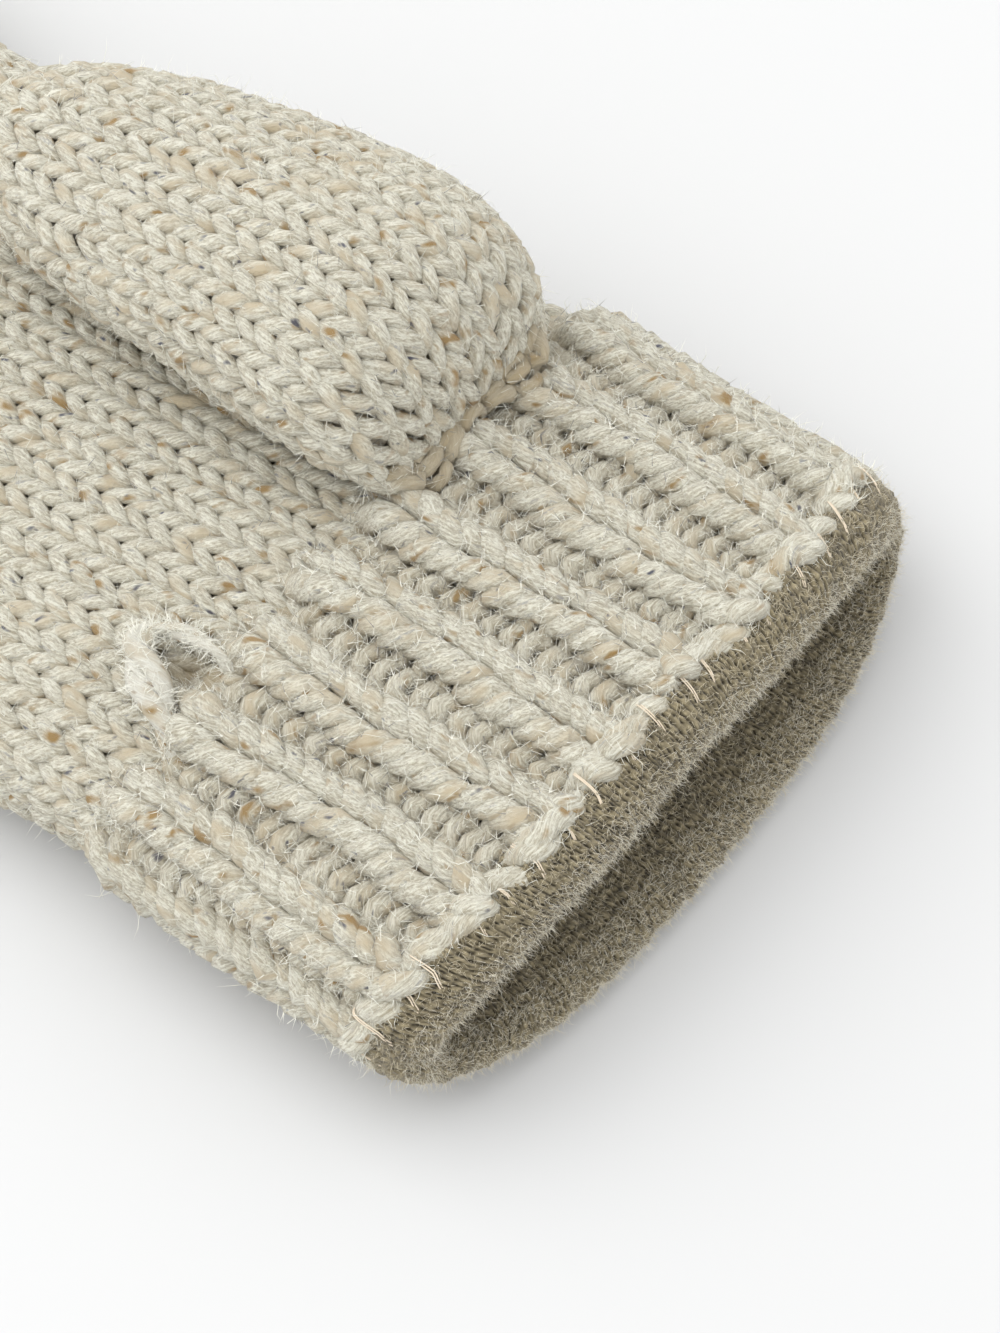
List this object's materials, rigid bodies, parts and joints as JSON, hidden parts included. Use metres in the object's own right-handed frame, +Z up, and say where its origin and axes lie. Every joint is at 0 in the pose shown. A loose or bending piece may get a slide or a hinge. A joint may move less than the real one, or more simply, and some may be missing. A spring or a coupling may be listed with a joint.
{
  "type": "convertible flip-top mitten",
  "caption": "Chunky knitted mitten with a ribbed cuff, fine lining rolled over its rim, a thumb, finger stalls and a hood that folds back off the fingers.",
  "frame": {"origin": "under the middle of the mitten, on the surface that it lies on", "axes": "+X from the fingertips to the cuff opening, +Y towards the thumb's side, +Z up from the back of the hand to the palm"},
  "size_m": [0.255, 0.1192, 0.0477],
  "materials": {
    "outer_knit": "bulky oatmeal tweed wool, fuzzy",
    "lining_knit": "fine taupe wool knit, brushed",
    "sewing_thread": "fine pale thread",
    "button_wood": "turned and waxed"
  },
  "bodies": {
    "hand": {"cuff_rib": "outer_knit", "cuff_lining": "lining_knit", "rim_stitches": "sewing_thread", "hand_shell": "outer_knit", "hand_lining": "lining_knit", "thumb_seam": "outer_knit", "knuckle_web": "outer_knit", "index_stall": "outer_knit", "middle_stall": "outer_knit", "ring_stall": "outer_knit", "little_stall": "outer_knit", "hinge_seam": "sewing_thread", "hold_back_button": "button_wood", "button_thread": "sewing_thread"},
    "thumb": {"thumb_shell": "outer_knit", "thumb_lining": "lining_knit"},
    "hood": {"hood_shell": "outer_knit", "hood_lining": "lining_knit", "hood_band": "outer_knit", "hold_loop": "outer_knit"}
  },
  "joints": [
    {"name": "hood_flip", "type": "hinge", "parent": "hand", "child": "hood", "pos_m": [-0.0455, -0.0056, 0], "axis": [0, -1, 0], "range_deg": [0, 170]},
    {"name": "thumb_swing", "type": "hinge", "parent": "hand", "child": "thumb", "pos_m": [0.0572, 0.028, 0.036], "axis": [0, 1, 0], "range_deg": [0, 55]}
  ]
}
